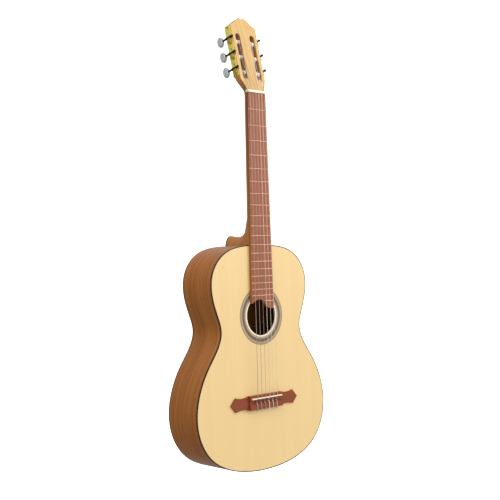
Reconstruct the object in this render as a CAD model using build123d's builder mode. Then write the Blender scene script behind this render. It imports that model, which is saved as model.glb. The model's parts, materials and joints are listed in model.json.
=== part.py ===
"""Classical guitar with slotted head, 650 mm scale, as separate pieces in one frame.

Frame: the guitar stands upright. +Z runs up the neck, the soundboard's outer face is the
plane y = 0 with the front of the guitar towards -Y and the back towards +Y, and +X is the
treble side. The origin is the tail of the body, on the centre line. Lengths are millimetres.
"""

import os
from math import cos, pi, radians, sin, tan

from build123d import *

os.makedirs("parts", exist_ok=True)

# ---------------------------------------------------------------- driving dimensions

SCALE = 650.0
BODY_LENGTH = 480.0
BODY_DEPTH = 92.0
NUT_Z = BODY_LENGTH + SCALE / 2
SADDLE_Z = BODY_LENGTH - SCALE / 2
# Further from the centre line than any piece reaches, for boxes that only trim.
WIDE = 200.0

# Half of the body's outline, tail to neck, as (distance from centre line, height).
HALF_OUTLINE = [
    (0, 0),
    (52.2, 3.5),
    (105.6, 16.7),
    (149.1, 42.1),
    (178.0, 84.3),
    (186.5, 133.0),
    (176.1, 184.1),
    (152.1, 230.3),
    (122.1, 275.8),
    (115.8, 299.0),
    (124.5, 334.0),
    (138.0, 380.0),
    (134.5, 422.7),
    (101.8, 462.4),
    (53.8, 477.6),
    (0, BODY_LENGTH),
]

TOP_THICKNESS = 2.6
BACK_THICKNESS = 2.6
SIDE_THICKNESS = 2.0
BINDING_DEPTH = 2.4
LINING_WIDTH = 6.0
LINING_HEIGHT = 14.0

HOLE_Z = 328.4
HOLE_RADIUS = 42.0
ROSETTE_RADII = (45.0, 49.5, 55.5, 62.2)
ROSETTE_DEPTH = 1.2

BOARD_THICKNESS = 6.5
BOARD_HALF_NUT = 26.0
BOARD_HALF_TWELFTH = 30.3
FRET_COUNT = 19
FRET_HEIGHT = 1.0
FRET_WIDTH = 2.2
TANG_WIDTH = 0.6
TANG_DEPTH = 1.8
PART_FRET_START = 6.5
DOT_FRETS = (5, 7, 12)
DOT_RADIUS = 1.4
DOT_DEPTH = 2.0

NUT_THICKNESS = 5.0
NUT_HEIGHT = 8.9
STRING_Y_NUT = -8.4

HEAD_ANGLE = radians(13)
HEAD_ORIGIN = Vector(0, -2.5, NUT_Z + NUT_THICKNESS)
HEAD_UP = Vector(0, sin(HEAD_ANGLE), cos(HEAD_ANGLE))
HEAD_BACK = Vector(0, cos(HEAD_ANGLE), -sin(HEAD_ANGLE))
HEAD_HALF = 36.0
HEAD_THICKNESS = 20.0
VENEER = 2.0
SLOT_X = 20.75
SLOT_WIDTH = 14.0
SLOT_LOW = 28.0
SLOT_HIGH = 130.0
RAMP_LOW = 23.5
RAMP_HIGH = 38.0
RAMP_DEPTH = 7.5
RAMP_INSET = 1.0
CUT_OVERRUN = 10.0

ROLLER_S = (42.7, 77.7, 112.7)
ROLLER_T = 8.5
ROLLER_RADIUS = 5.0
ROLLER_INNER_X = 6.0
ROLLER_END_GAP = 0.4
BORE_INNER_X = 5.4
RUNNING_GAP = 0.08
SPIGOT_RADIUS = 2.0
STRING_HOLE_RADIUS = 0.8
STRING_HOLE_SHIFT = 3.2
WINDING_GAP = 0.3
STRING_TURNS = 3
PLATE_THICKNESS = 1.2
PLATE_FRONT_T = 2.4
PLATE_REAR_T = 19.8
PLATE_LOW = 33.2
PLATE_HIGH = 148.0
# Wood screws through each plate: place along the head, depth behind its face.
SCREW_PLACES = ((36.4, 16.8), (60.2, 9.5), (95.2, 9.5), (144.0, 10.0))
SCREW_SHANK = 1.1
SCREW_LENGTH = 7.5
SCREW_HEAD = 2.3
SCREW_HEAD_HEIGHT = 0.9

GEAR_TEETH = 14
GEAR_TIP = 6.2
GEAR_ROOT = 4.7
GEAR_WIDTH = 3.4
GEAR_PITCH_RADIUS = 5.75
CENTRE_DISTANCE = 7.8
WORM_PITCH = 2 * pi * GEAR_PITCH_RADIUS / GEAR_TEETH
WORM_ROOT = 1.5
WORM_CREST = 2.6
WORM_TURNS = 2.9
THREAD_BASE = WORM_ROOT - 0.1
THREAD_FOOT = 1.1
THREAD_LAND = 0.56
SHAFT_RADIUS = 1.8
SHAFT_X = HEAD_HALF + PLATE_THICKNESS + WORM_CREST + 0.3

BRIDGE_Z = 146.5
BRIDGE_HALF = 97.0
BLOCK_HALF = 47.5
WING_HEIGHT = 3.6
BLOCK_HEIGHT = 9.0
SADDLE_HALF = 43.5
SADDLE_WIDTH = 2.8
SADDLE_TOP = -12.8
SADDLE_SEAT = -3.6
SADDLE_ROUND = 1.2
TROUGH_FLOOR = -5.4
TROUGH_GAP = 3.2
TIE_BACK_Z = BRIDGE_Z - 15.0
TIE_FRONT_Z = TIE_BACK_Z + 12.5
TIE_HOLE_Y = 4.6
TIE_HOLE_RADIUS = 0.9
TIE_OVERHANG = 1.2
TIE_HOLE_OVERHANG = 0.8

STRING_X_NUT = (21.5, 12.9, 4.3, -4.3, -12.9, -21.5)
STRING_X_SADDLE = (29.0, 17.4, 5.8, -5.8, -17.4, -29.0)
STRING_X_ROLLER = (22.5, 20.5, 20.0, -20.0, -20.5, -22.5)
STRING_RADIUS = (0.36, 0.41, 0.51, 0.38, 0.45, 0.55)
# Roller of each string, counted from the nut: outer strings go to the nearest roller.
STRING_ROLLER = (0, 1, 2, 2, 1, 0)

# ---------------------------------------------------------------- helpers


def face_plane(depth):
    """The plane parallel to the soundboard, at a depth behind its outer face."""
    return Plane.XZ.offset(-depth)


def head_point(x, s, t):
    """A point of the head: s along it from the nut, t behind its front face."""
    return Vector(x, 0, 0) + HEAD_ORIGIN + HEAD_UP * s + HEAD_BACK * t


def head_plane(t=0.0, s=0.0, x=0.0):
    """The plane of the head's face at depth t, with local x to the treble and y up the head."""
    return Plane(origin=head_point(x, s, t), x_dir=(1, 0, 0), z_dir=-HEAD_BACK)


def fret_z(number):
    """Height of a fret's crown line."""
    return NUT_Z - SCALE * (1 - 2 ** (-number / 12))


def board_half(z):
    """Half the fingerboard's width at a height."""
    return BOARD_HALF_NUT + (BOARD_HALF_TWELFTH - BOARD_HALF_NUT) * (NUT_Z - z) / (SCALE / 2)


WHOLE_OUTLINE = HALF_OUTLINE + [(-x, z) for x, z in HALF_OUTLINE[-2:0:-1]]
OUTER_CURVE = Spline(*WHOLE_OUTLINE, periodic=True)
INSET_STATIONS = 96


def outline_points(inset):
    """Points round the body's outline, each moved inward along its normal."""
    if not inset:
        return WHOLE_OUTLINE
    points = []
    for index in range(INSET_STATIONS):
        place = OUTER_CURVE @ (index / INSET_STATIONS)
        along = OUTER_CURVE % (index / INSET_STATIONS)
        points.append((place.X - inset * along.Y, place.Y + inset * along.X))
    return points


def body_sketch(inset=0.0):
    """The body's outline, drawn in by a distance."""
    points = outline_points(inset)
    with BuildSketch() as outline:
        with BuildLine():
            Spline(*points, periodic=True)
        make_face()
    return outline.sketch


def body_slab(front, back, inset=0.0):
    """A slab of the body's outline between two depths."""
    with BuildPart() as slab:
        with BuildSketch(face_plane(front)):
            add(body_sketch(inset))
        extrude(amount=front - back)
    return slab.part


def body_rim(front, back, outer, inner):
    """A closed band that follows the body's outline between two insets and two depths."""
    with BuildPart() as rim:
        with BuildSketch(face_plane(front)):
            add(body_sketch(outer))
            add(body_sketch(inner), mode=Mode.SUBTRACT)
        extrude(amount=front - back)
    return rim.part


def box_between(low, high):
    """A box from its lowest corner to its highest."""
    with BuildPart() as block:
        with Locations(((low[0] + high[0]) / 2, (low[1] + high[1]) / 2, (low[2] + high[2]) / 2)):
            Box(high[0] - low[0], high[1] - low[1], high[2] - low[2])
    return block.part


def rod(start, end, radius):
    """A round rod between two points."""
    start = Vector(start)
    end = Vector(end)
    with BuildPart() as bar:
        with BuildSketch(Plane(origin=start, z_dir=end - start)):
            Circle(radius)
        extrude(amount=(end - start).length)
    return bar.part


def save(piece, name):
    """Label a finished piece and write its STEP file."""
    piece.part.label = name
    export_step(piece.part, f"parts/{name}.step")


# ---------------------------------------------------------------- body

BACK_FACE = BODY_DEPTH - BACK_THICKNESS
LINING_INSET = SIDE_THICKNESS + LINING_WIDTH
TAIL_BLOCK = ((-32, TOP_THICKNESS, -1), (32, BACK_FACE, 17))
NECK_BLOCK = ((-34, TOP_THICKNESS, 452), (34, BACK_FACE, 481))
TENON = ((-11, 6, 466), (11, 74, 481))

with BuildPart() as soundboard:
    add(body_slab(0, TOP_THICKNESS, SIDE_THICKNESS))
    with BuildSketch(face_plane(0)):
        with Locations((0, HOLE_Z)):
            Circle(HOLE_RADIUS)
    extrude(amount=-TOP_THICKNESS, mode=Mode.SUBTRACT)
    with BuildSketch(face_plane(0)):
        with Locations((0, HOLE_Z)):
            Circle(ROSETTE_RADII[-1])
            Circle(ROSETTE_RADII[0], mode=Mode.SUBTRACT)
    extrude(amount=-ROSETTE_DEPTH, mode=Mode.SUBTRACT)
save(soundboard, "soundboard")

with BuildPart() as back:
    add(body_slab(BACK_FACE, BODY_DEPTH, SIDE_THICKNESS))
save(back, "back")

with BuildPart() as top_binding:
    add(body_rim(0, BINDING_DEPTH, 0, SIDE_THICKNESS))
save(top_binding, "top_binding")

with BuildPart() as back_binding:
    add(body_rim(BODY_DEPTH - BINDING_DEPTH, BODY_DEPTH, 0, SIDE_THICKNESS))
save(back_binding, "back_binding")

side_ring = body_rim(BINDING_DEPTH, BODY_DEPTH - BINDING_DEPTH, 0, SIDE_THICKNESS)
for side_name, keep in (("bass_side", Keep.BOTTOM), ("treble_side", Keep.TOP)):
    with BuildPart() as side:
        add(side_ring)
        add(box_between(*TENON), mode=Mode.SUBTRACT)
        split(bisect_by=Plane.YZ, keep=keep)
    save(side, side_name)

with BuildPart() as tail_block:
    add(body_slab(TOP_THICKNESS, BACK_FACE, SIDE_THICKNESS))
    add(box_between(*TAIL_BLOCK), mode=Mode.INTERSECT)
save(tail_block, "tail_block")

with BuildPart() as neck_block:
    add(body_slab(TOP_THICKNESS, BACK_FACE, SIDE_THICKNESS))
    add(box_between(*NECK_BLOCK), mode=Mode.INTERSECT)
    add(box_between(*TENON), mode=Mode.SUBTRACT)
save(neck_block, "neck_block")

with BuildPart() as linings:
    for front, rear in ((TOP_THICKNESS, LINING_HEIGHT), (BODY_DEPTH - LINING_HEIGHT, BACK_FACE)):
        add(body_rim(front, rear, SIDE_THICKNESS, LINING_INSET))
    add(box_between(*TAIL_BLOCK), mode=Mode.SUBTRACT)
    add(box_between(*NECK_BLOCK), mode=Mode.SUBTRACT)
save(linings, "linings")


def ring_inlay(inner, outer):
    """A flat ring let into the soundboard round the soundhole."""
    with BuildPart() as ring:
        with BuildSketch(face_plane(0)):
            with Locations((0, HOLE_Z)):
                Circle(outer)
                Circle(inner, mode=Mode.SUBTRACT)
        extrude(amount=-ROSETTE_DEPTH)
    return ring.part


with BuildPart() as rosette_rings:
    add(ring_inlay(ROSETTE_RADII[0], ROSETTE_RADII[1]))
    add(ring_inlay(ROSETTE_RADII[2], ROSETTE_RADII[3]))
save(rosette_rings, "rosette_rings")

with BuildPart() as rosette_mosaic:
    add(ring_inlay(ROSETTE_RADII[1], ROSETTE_RADII[2]))
save(rosette_mosaic, "rosette_mosaic")

# ---------------------------------------------------------------- body's inside

PATCH_DEPTH = 1.8
PATCH_RADIUS = 52.0
PATCH_SETBACK = 0.5
TOP_BAR_Z = (270.0, 387.0)
BAR_WIDTH = 7.0
BAR_HEIGHT = 16.0
BAR_END_HEIGHT = 3.0
BAR_END_GAP = 0.5
STRUT_WIDTH = 5.0
STRUT_HEIGHT = 4.5
STRUT_ROUND = 1.2
STRUT_COUNT = 7
STRUT_SPACING_TOP = 17.0
STRUT_SPACING_LOW = 33.0
STRUT_TOP_Z = TOP_BAR_Z[0] - BAR_WIDTH
STRUT_LOW_Z = 62.0
BACK_BAR_Z = (96.0, 208.0, 300.0, 398.0)
STRIP_WIDTH = 18.0
STRIP_DEPTH = 1.6
STRIP_ENDS = (22.0, 450.0)
BRIDGE_PATCH = ((-92, TOP_THICKNESS, 130), (92, TOP_THICKNESS + 1.6, 163))

with BuildPart() as soundhole_patch:
    with BuildSketch(face_plane(TOP_THICKNESS)):
        with Locations((0, HOLE_Z)):
            Circle(PATCH_RADIUS)
            Circle(HOLE_RADIUS + PATCH_SETBACK, mode=Mode.SUBTRACT)
    extrude(amount=-PATCH_DEPTH)
save(soundhole_patch, "soundhole_patch")


def cross_bar(z, seat, height):
    """A bar across the plate at depth seat, arched so that it is low at its two ends."""
    end = seat + (BAR_END_HEIGHT if height > 0 else -BAR_END_HEIGHT)
    with BuildPart() as bar:
        with BuildSketch(Plane.XY.offset(z - BAR_WIDTH / 2)):
            with BuildLine():
                Line((-WIDE, seat), (WIDE, seat))
                Line((WIDE, seat), (WIDE, end))
                ThreePointArc((WIDE, end), (0, seat + height), (-WIDE, end))
                Line((-WIDE, end), (-WIDE, seat))
            make_face()
        extrude(amount=BAR_WIDTH)
    return bar.part


bar_room = body_slab(TOP_THICKNESS, BACK_FACE, LINING_INSET + BAR_END_GAP)

with BuildPart() as top_bars:
    for bar_z in TOP_BAR_Z:
        add(cross_bar(bar_z, TOP_THICKNESS, BAR_HEIGHT))
    add(bar_room, mode=Mode.INTERSECT)
save(top_bars, "top_bars")

with BuildPart() as back_bars:
    for bar_z in BACK_BAR_Z:
        add(cross_bar(bar_z, BACK_FACE, -BAR_HEIGHT))
    add(bar_room, mode=Mode.INTERSECT)
save(back_bars, "back_bars")

with BuildPart() as back_strip:
    strip_low = (-STRIP_WIDTH / 2, BACK_FACE - STRIP_DEPTH, STRIP_ENDS[0])
    strip_high = (STRIP_WIDTH / 2, BACK_FACE, STRIP_ENDS[1])
    add(box_between(strip_low, strip_high))
    add(back_bars.part, mode=Mode.SUBTRACT)
save(back_strip, "back_strip")

with BuildPart() as bridge_patch:
    add(box_between(*BRIDGE_PATCH))
save(bridge_patch, "bridge_patch")

with BuildPart() as fan_struts:
    for number in range(STRUT_COUNT):
        step = number - (STRUT_COUNT - 1) / 2
        high = Vector(step * STRUT_SPACING_TOP, TOP_THICKNESS, STRUT_TOP_Z)
        low = Vector(step * STRUT_SPACING_LOW, TOP_THICKNESS, STRUT_LOW_Z)
        strut_plane = Plane(origin=low, x_dir=(0, 1, 0), z_dir=high - low)
        with BuildSketch(strut_plane):
            with Locations((STRUT_HEIGHT / 2, 0)):
                RectangleRounded(STRUT_HEIGHT, STRUT_WIDTH, STRUT_ROUND)
        extrude(amount=(high - low).length)
    add(box_between((-WIDE, 0, 0), (WIDE, TOP_THICKNESS, BODY_LENGTH)), mode=Mode.SUBTRACT)
    add(bridge_patch.part, mode=Mode.SUBTRACT)
save(fan_struts, "fan_struts")

# ---------------------------------------------------------------- neck

HEEL_CAP_DEPTH = 3.0
# The neck's shaft: height, half width, depth behind the soundboard's plane.
SHAFT_SECTIONS = ((520.0, 29.6, 17.2), (664.0, 27.8, 16.4), (800.0, 26.0, 15.65))
# The carved change from the round shaft to the flat head: height, half width, depth of its
# back behind the soundboard's plane, squareness of the section (2 is an ellipse).
FLARE_SECTIONS = (
    (800.0, 26.0, 15.65, 2.0),
    (806.0, 26.1, 16.2, 2.1),
    (810.0, 26.9, 17.2, 2.3),
    (814.0, 28.4, 18.4, 2.7),
    (819.0, 30.9, 19.9, 3.3),
    (825.0, 33.7, 21.45, 4.5),
    (831.0, 35.4, 22.87, 7.0),
    (838.0, HEAD_HALF, 24.49, 14.0),
)
FLARE_POINTS = 28
HEEL_FOOT_Z = 472.0
# The heel's ridge on the centre line, from the neck's back to the heel cap: depth, height.
HEEL_RIDGE = (
    (0.0, 640.0),
    (12.0, 585.0),
    (20.0, 545.0),
    (30.0, 514.5),
    (46.0, 502.6),
    (62.0, 499.3),
    (78.0, 500.9),
    (BODY_DEPTH, 502.6),
)
HEEL_HALF_FRONT = 29.6
HEEL_HALF_CAP = 16.4
HEEL_STATIONS = 18
HEEL_NARROWING = 1.4
# Half of the front veneer's edge, from the nut up: distance from the centre line, place
# along the head. It is narrower than the wood behind it.
VENEER_FLARE = ((22.4, -1.0), (23.6, 3.0), (27.4, 10.5), (32.6, 20.0), (HEAD_HALF, 28.0))
HEAD_CORNER = (HEAD_HALF, 149.5)
HEAD_CREST = (HEAD_CORNER, (29.5, 152.0), (22.5, 157.0), (15.0, 163.5), (8.5, 167.5), (0.0, 165.3))


def rounded_back(plane, half_width, depth):
    """A section of the neck: flat in front, half an ellipse behind."""
    with BuildSketch(plane) as section:
        with BuildLine():
            EllipticalCenterArc((0, 0), half_width, depth, start_angle=0, arc_size=180)
            Line((-half_width, 0), (half_width, 0))
        make_face()
    return section.sketch


def head_outline(flare=None):
    """The head's outline, with its sides straight or flared in towards the nut."""
    foot = flare[0] if flare else (HEAD_HALF, 0)
    with BuildSketch() as outline:
        with BuildLine():
            if flare:
                Spline(*flare, tangents=[(0, 1), (0, 1)])
                Line(flare[-1], HEAD_CORNER)
            else:
                Line(foot, HEAD_CORNER)
            Spline(*HEAD_CREST)
            mirror(about=Plane.YZ)
            Line((-foot[0], foot[1]), foot)
        make_face()
    return outline.sketch


def head_depth(t, z):
    """Distance behind the soundboard's plane, at a height, of the head's plane at depth t."""
    return HEAD_ORIGIN.Y + t / cos(HEAD_ANGLE) + (z - HEAD_ORIGIN.Z) * tan(HEAD_ANGLE)


def flare_points(z, half_width, back_depth, squareness):
    """A section of the flare: flat in front, and behind it half of a squarish ellipse."""
    front = max(head_depth(VENEER, z), head_depth(VENEER, HEAD_ORIGIN.Z)) if z > NUT_Z else 0
    power = 2 / squareness
    points = []
    for number in range(FLARE_POINTS + 1):
        angle = pi * number / FLARE_POINTS
        across = abs(cos(angle)) ** power * (1 if angle < pi / 2 else -1)
        points.append((half_width * across, front + (back_depth - front) * sin(angle) ** power))
    points[-1] = (-half_width, front)
    return points


def head_slots():
    """The two string slots with their sloped lower ends, as a solid to cut away."""
    middle = (SLOT_LOW + SLOT_HIGH) / 2
    with BuildPart() as slots:
        with BuildSketch(head_plane(-CUT_OVERRUN)):
            with Locations((SLOT_X, middle), (-SLOT_X, middle)):
                SlotOverall(SLOT_HIGH - SLOT_LOW, SLOT_WIDTH, rotation=90)
        extrude(amount=-HEAD_THICKNESS - 2 * CUT_OVERRUN)
        for side in (1, -1):
            start = side * SLOT_X - SLOT_WIDTH / 2 + RAMP_INSET
            with BuildSketch(Plane(origin=head_point(start, 0, 0), x_dir=HEAD_UP, z_dir=(1, 0, 0))):
                with BuildLine():
                    Polyline(
                        (RAMP_LOW, CUT_OVERRUN),
                        (RAMP_LOW, 0),
                        (RAMP_HIGH, -RAMP_DEPTH),
                        (RAMP_HIGH, CUT_OVERRUN),
                        close=True,
                    )
                make_face()
            extrude(amount=SLOT_WIDTH - 2 * RAMP_INSET)
    return slots.part


slots_cut = head_slots()
nut_room = box_between((-WIDE, -WIDE, NUT_Z - NUT_THICKNESS), (WIDE, 0, NUT_Z + NUT_THICKNESS))
roller_bores = []
for roller_s in ROLLER_S:
    for side in (1, -1):
        bore_plane = Plane(origin=head_point(side * BORE_INNER_X, roller_s, ROLLER_T), z_dir=(side, 0, 0))
        with BuildPart() as bore:
            with BuildSketch(bore_plane):
                Circle(ROLLER_RADIUS + RUNNING_GAP)
            extrude(amount=HEAD_HALF)
        roller_bores.append(bore.part)


def plate_screw(s, t, side):
    """A wood screw through a tuner plate into the head's side."""
    outer = HEAD_HALF + PLATE_THICKNESS
    with BuildPart() as screw:
        with BuildSketch(Plane(origin=head_point(side * (outer - SCREW_LENGTH), s, t), z_dir=(side, 0, 0))):
            Circle(SCREW_SHANK)
        extrude(amount=SCREW_LENGTH)
        with BuildSketch(Plane(origin=head_point(side * outer, s, t), z_dir=(side, 0, 0))):
            Circle(SCREW_HEAD)
        extrude(amount=SCREW_HEAD_HEIGHT)
    return screw.part


ridge_curve = Spline(*HEEL_RIDGE)
heel_stations = [ridge_curve @ (number / HEEL_STATIONS) for number in range(HEEL_STATIONS + 1)]

with BuildPart() as heel:
    for station in heel_stations:
        narrowing = (1 - station.X / BODY_DEPTH) ** HEEL_NARROWING if station.X < BODY_DEPTH else 0
        half_width = HEEL_HALF_CAP + (HEEL_HALF_FRONT - HEEL_HALF_CAP) * narrowing
        with BuildSketch(face_plane(station.X)):
            with BuildLine():
                foot = (0, HEEL_FOOT_Z)
                EllipticalCenterArc(foot, half_width, station.Y - HEEL_FOOT_Z, start_angle=0, arc_size=180)
                Line((-half_width, HEEL_FOOT_Z), (half_width, HEEL_FOOT_Z))
            make_face()
    loft(ruled=True)
    add(body_slab(-CUT_OVERRUN, BODY_DEPTH + CUT_OVERRUN), mode=Mode.SUBTRACT)

with BuildPart() as heel_cap:
    add(heel.part)
    add(box_between((-WIDE, BODY_DEPTH - HEEL_CAP_DEPTH, 0), (WIDE, BODY_DEPTH, NUT_Z)), mode=Mode.INTERSECT)
save(heel_cap, "heel_cap")

with BuildPart() as flare:
    for section_z, half_width, back_depth, squareness in FLARE_SECTIONS:
        with BuildSketch(Plane.XY.offset(section_z)):
            with BuildLine():
                Polyline(*flare_points(section_z, half_width, back_depth, squareness), close=True)
            make_face()
    loft(ruled=True)

with BuildPart() as head_core:
    with BuildSketch(head_plane(VENEER)):
        add(head_outline())
    extrude(amount=VENEER - HEAD_THICKNESS)
    add(box_between((-WIDE, -WIDE, 0), (WIDE, WIDE, FLARE_SECTIONS[-1][0])), mode=Mode.SUBTRACT)

with BuildPart() as neck:
    for section_z, half_width, depth in SHAFT_SECTIONS:
        add(rounded_back(Plane.XY.offset(section_z), half_width, depth))
    loft()
    add(heel.part)
    add(heel_cap.part, mode=Mode.SUBTRACT)
    add(box_between(*TENON))
    add(flare.part)
    add(head_core.part)
    add(slots_cut, mode=Mode.SUBTRACT)
    add(nut_room, mode=Mode.SUBTRACT)
    for bore in roller_bores:
        add(bore, mode=Mode.SUBTRACT)
    for screw_s, screw_t in SCREW_PLACES:
        for side in (1, -1):
            add(plate_screw(screw_s, screw_t, side), mode=Mode.SUBTRACT)
save(neck, "neck")

with BuildPart() as head_plate:
    with BuildSketch(head_plane(0)):
        add(head_outline(VENEER_FLARE))
    extrude(amount=-VENEER)
    add(slots_cut, mode=Mode.SUBTRACT)
    add(nut_room, mode=Mode.SUBTRACT)
save(head_plate, "head_plate")

# ---------------------------------------------------------------- fingerboard, frets, nut

# The fingerboard's end over the soundhole, bass to treble: it is arched and longer under
# the treble strings.
BOARD_END = (
    (-32.1, 355.5),
    (-20.5, 361.0),
    (-10.5, 363.9),
    (-2.5, 362.2),
    (4.0, 357.0),
    (10.0, 349.0),
    (16.0, 345.0),
    (24.0, 343.3),
    (32.1, 343.3),
)


def fret(number, start=None):
    """One fret: a domed crown on the board and a tang in its slot."""
    z = fret_z(number)
    half = board_half(z)
    left = -half if start is None else start
    with BuildPart() as wire:
        with BuildSketch(Plane(origin=(left, -BOARD_THICKNESS, z), x_dir=(0, 0, 1), z_dir=(1, 0, 0))):
            with BuildLine():
                ThreePointArc((-FRET_WIDTH / 2, 0), (0, FRET_HEIGHT), (FRET_WIDTH / 2, 0))
                Line((-FRET_WIDTH / 2, 0), (FRET_WIDTH / 2, 0))
            make_face()
            with Locations((0, -TANG_DEPTH / 2)):
                Rectangle(TANG_WIDTH, TANG_DEPTH)
        extrude(amount=half - left)
    return wire.part


with BuildPart() as frets:
    for fret_number in range(1, FRET_COUNT + 1):
        add(fret(fret_number))
    add(fret(FRET_COUNT + 1, PART_FRET_START))
save(frets, "frets")

with BuildPart() as side_dots:
    for dot_fret in DOT_FRETS:
        dot_z = (fret_z(dot_fret) + fret_z(dot_fret - 1)) / 2
        dot_x = -board_half(dot_z)
        dot_face = Vector(dot_x, -BOARD_THICKNESS / 2, dot_z)
        add(rod(dot_face, dot_face + (DOT_DEPTH, 0, 0), DOT_RADIUS))
save(side_dots, "side_dots")

with BuildPart() as fingerboard:
    with BuildSketch(face_plane(0)):
        with BuildLine():
            Spline(*BOARD_END)
            Line(BOARD_END[-1], (board_half(NUT_Z), NUT_Z))
            Line((board_half(NUT_Z), NUT_Z), (-board_half(NUT_Z), NUT_Z))
            Line((-board_half(NUT_Z), NUT_Z), BOARD_END[0])
        make_face()
    extrude(amount=BOARD_THICKNESS)
    add(frets.part, mode=Mode.SUBTRACT)
    add(side_dots.part, mode=Mode.SUBTRACT)
save(fingerboard, "fingerboard")

# ---------------------------------------------------------------- strings


def string_path(index):
    """The centre line of a string, from its tie at the bridge to its roller."""
    radius = STRING_RADIUS[index]
    x_saddle = STRING_X_SADDLE[index]
    x_nut = STRING_X_NUT[index]
    roller_s = ROLLER_S[STRING_ROLLER[index]]
    side = 1 if index < 3 else -1
    winding = ROLLER_RADIUS + WINDING_GAP + radius
    return [
        Vector(x_saddle, -TIE_HOLE_Y, TIE_BACK_Z - TIE_OVERHANG),
        Vector(x_saddle, -TIE_HOLE_Y, TIE_FRONT_Z + TIE_HOLE_OVERHANG),
        Vector(x_saddle, SADDLE_TOP - radius, SADDLE_Z),
        Vector(x_nut, STRING_Y_NUT, NUT_Z),
        Vector(x_nut, STRING_Y_NUT, NUT_Z + NUT_THICKNESS),
        head_point(side * abs(STRING_X_ROLLER[index]), roller_s, ROLLER_T - winding),
    ]


def strand(points, radius):
    """A round wire through points, with ball corners."""
    with BuildPart() as wire:
        for start, end in zip(points[:-1], points[1:]):
            add(rod(start, end, radius))
        with Locations(*points[1:-1]):
            Sphere(radius)
    return wire.part


for index in range(6):
    radius = STRING_RADIUS[index]
    path = string_path(index)
    x_saddle = STRING_X_SADDLE[index]
    loop_y = -BLOCK_HEIGHT - radius
    loop = [
        path[0],
        Vector(x_saddle, loop_y, TIE_BACK_Z - TIE_OVERHANG),
        Vector(x_saddle, loop_y, TIE_FRONT_Z),
        path[1] + (path[2] - path[1]) * 0.3,
    ]
    roller_s = ROLLER_S[STRING_ROLLER[index]]
    wrap_width = 2 * radius * STRING_TURNS
    wrap_x = STRING_X_ROLLER[index] - wrap_width / 2
    with BuildPart() as string:
        add(strand(path, radius))
        add(strand(loop, radius))
        with Locations(path[0]):
            Sphere(radius)
        with BuildSketch(Plane(origin=head_point(wrap_x, roller_s, ROLLER_T), z_dir=(1, 0, 0))):
            Circle(ROLLER_RADIUS + WINDING_GAP + 2 * radius)
            Circle(ROLLER_RADIUS + WINDING_GAP, mode=Mode.SUBTRACT)
        extrude(amount=wrap_width)
    save(string, f"string_{index + 1}")

# ---------------------------------------------------------------- nut, bridge, saddle

with BuildPart() as nut:
    add(box_between((-BOARD_HALF_NUT, -NUT_HEIGHT, NUT_Z), (BOARD_HALF_NUT, 0, NUT_Z + NUT_THICKNESS)))
    for index in range(6):
        path = string_path(index)
        add(rod(path[3] - (0, 0, 1), path[4] + (0, 0, 1), STRING_RADIUS[index]), mode=Mode.SUBTRACT)
        notch_low = (STRING_X_NUT[index] - STRING_RADIUS[index], -WIDE, NUT_Z)
        notch_high = (STRING_X_NUT[index] + STRING_RADIUS[index], STRING_Y_NUT, NUT_Z + NUT_THICKNESS)
        add(box_between(notch_low, notch_high), mode=Mode.SUBTRACT)
save(nut, "nut")

with BuildPart() as saddle:
    saddle_low = (-SADDLE_HALF, SADDLE_TOP, SADDLE_Z - SADDLE_WIDTH / 2)
    saddle_high = (SADDLE_HALF, SADDLE_SEAT, SADDLE_Z + SADDLE_WIDTH / 2)
    add(box_between(saddle_low, saddle_high))
    fillet(saddle.edges().filter_by(Axis.X).group_by(Axis.Y)[0], radius=SADDLE_ROUND)
    for index in range(6):
        add(strand(string_path(index), STRING_RADIUS[index]), mode=Mode.SUBTRACT)
save(saddle, "saddle")

WAIST_X = 66.0
ARROW_X = 83.5
WAIST_HALF = 12.0
ARROW_HALF = 15.0
BLOCK_HALF_HEIGHT = 15.0

with BuildPart() as bridge:
    with BuildSketch(face_plane(0)):
        with BuildLine():
            for up in (1, -1):
                ThreePointArc(
                    (BLOCK_HALF, BRIDGE_Z + up * BLOCK_HALF_HEIGHT),
                    (WAIST_X, BRIDGE_Z + up * WAIST_HALF),
                    (ARROW_X, BRIDGE_Z + up * ARROW_HALF),
                )
                Line((ARROW_X, BRIDGE_Z + up * ARROW_HALF), (BRIDGE_HALF, BRIDGE_Z))
                Line((0, BRIDGE_Z + up * BLOCK_HALF_HEIGHT), (BLOCK_HALF, BRIDGE_Z + up * BLOCK_HALF_HEIGHT))
            mirror(about=Plane.YZ)
        make_face()
    extrude(amount=WING_HEIGHT)
    block_low = BRIDGE_Z - BLOCK_HALF_HEIGHT
    block_high = BRIDGE_Z + BLOCK_HALF_HEIGHT
    add(box_between((-BLOCK_HALF, -BLOCK_HEIGHT, block_low), (BLOCK_HALF, 0, block_high)))
    trough_low = (-BLOCK_HALF, -BLOCK_HEIGHT, TIE_FRONT_Z)
    trough_high = (BLOCK_HALF, TROUGH_FLOOR, SADDLE_Z - SADDLE_WIDTH / 2 - TROUGH_GAP)
    add(box_between(trough_low, trough_high), mode=Mode.SUBTRACT)
    add(box_between(saddle_low, saddle_high), mode=Mode.SUBTRACT)
    for x_hole in STRING_X_SADDLE:
        hole_low = (x_hole, -TIE_HOLE_Y, block_low)
        hole_high = (x_hole, -TIE_HOLE_Y, TIE_FRONT_Z)
        add(rod(hole_low, hole_high, TIE_HOLE_RADIUS), mode=Mode.SUBTRACT)
    for index in range(6):
        add(strand(string_path(index), STRING_RADIUS[index]), mode=Mode.SUBTRACT)
save(bridge, "bridge")

# ---------------------------------------------------------------- tuning machines

PLATE_OUTER = HEAD_HALF + PLATE_THICKNESS
PLATE_CORNER = 2.0
LUG_THICKNESS = 1.8
LUG_FRONT_T = 2.4
LUG_REAR_T = 15.0
LUG_HALF = 2.8
SHAFT_GAP = 0.06
GEAR_X = SHAFT_X - GEAR_WIDTH / 2
GEAR_OUTER = GEAR_X + GEAR_WIDTH
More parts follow.
